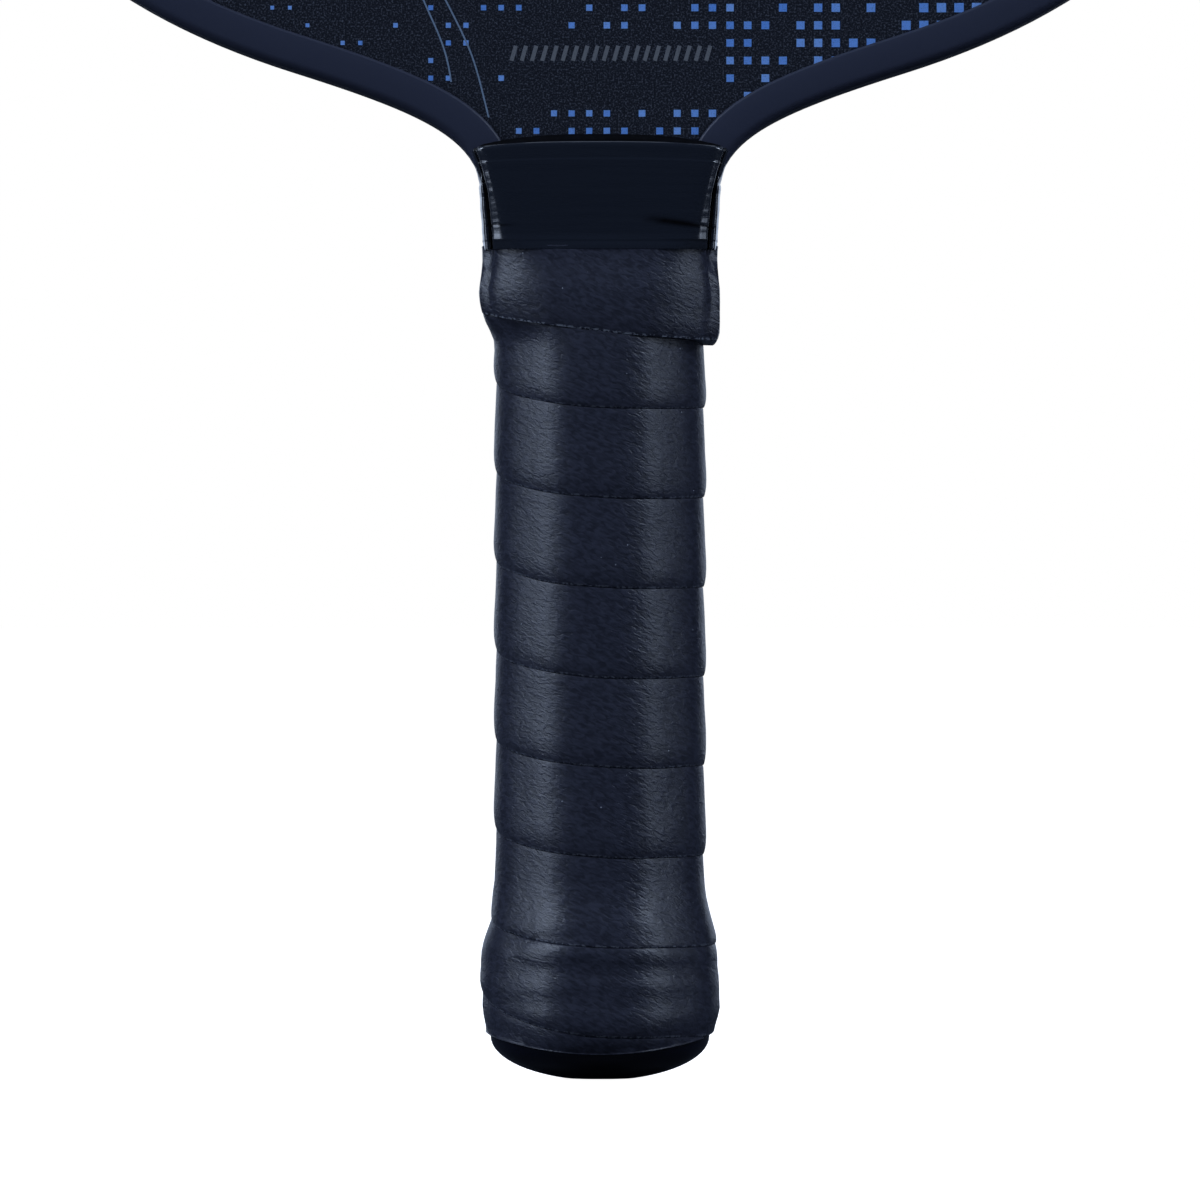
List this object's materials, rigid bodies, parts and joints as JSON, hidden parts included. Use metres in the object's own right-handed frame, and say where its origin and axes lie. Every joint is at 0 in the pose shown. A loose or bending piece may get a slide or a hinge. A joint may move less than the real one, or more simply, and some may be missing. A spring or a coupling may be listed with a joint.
{
  "type": "pickleball paddle",
  "caption": "Rigid paddle with a rounded rectangular head, printed gritty faces, a wrapped edge guard and an octagonal wound grip with a flared butt.",
  "frame": {"origin": "middle of the flat spot on the end of the butt cap", "axes": "+Z from the butt to the head, front face towards -Y, +X to the right seen from the front"},
  "size_m": [0.2, 0.0334, 0.403],
  "materials": {
    "printed_face": "gritty matt print on a composite sheet, with small blue squares",
    "core_polymer": "thin-walled translucent polymer cells",
    "bond_film": "cured adhesive",
    "guard_vinyl": "satin extruded vinyl",
    "moulded_shell": "moulded rigid foam skin",
    "foam_pad": "double-sided foam",
    "cap_plastic": "gloss moulded plastic",
    "staple_steel": "bright wire",
    "grip_leatherette": "fine-grained matt leatherette",
    "finishing_vinyl": "stretched gloss vinyl tape"
  },
  "bodies": {
    "root": {"honeycomb_core": "core_polymer", "front_face_sheet": "printed_face", "back_face_sheet": "printed_face", "front_bond_film": "bond_film", "back_bond_film": "bond_film", "edge_guard": "guard_vinyl", "edge_guard_glue_strip": "bond_film", "front_handle_half": "moulded_shell", "rear_handle_half": "moulded_shell", "front_handle_bond_pad": "foam_pad", "rear_handle_bond_pad": "foam_pad", "butt_cap": "cap_plastic", "butt_cap_staple_front": "staple_steel", "butt_cap_staple_rear": "staple_steel", "butt_cap_staple_left": "staple_steel", "butt_cap_staple_right": "staple_steel", "grip_tape": "grip_leatherette", "finishing_tape": "finishing_vinyl"}
  },
  "joints": []
}
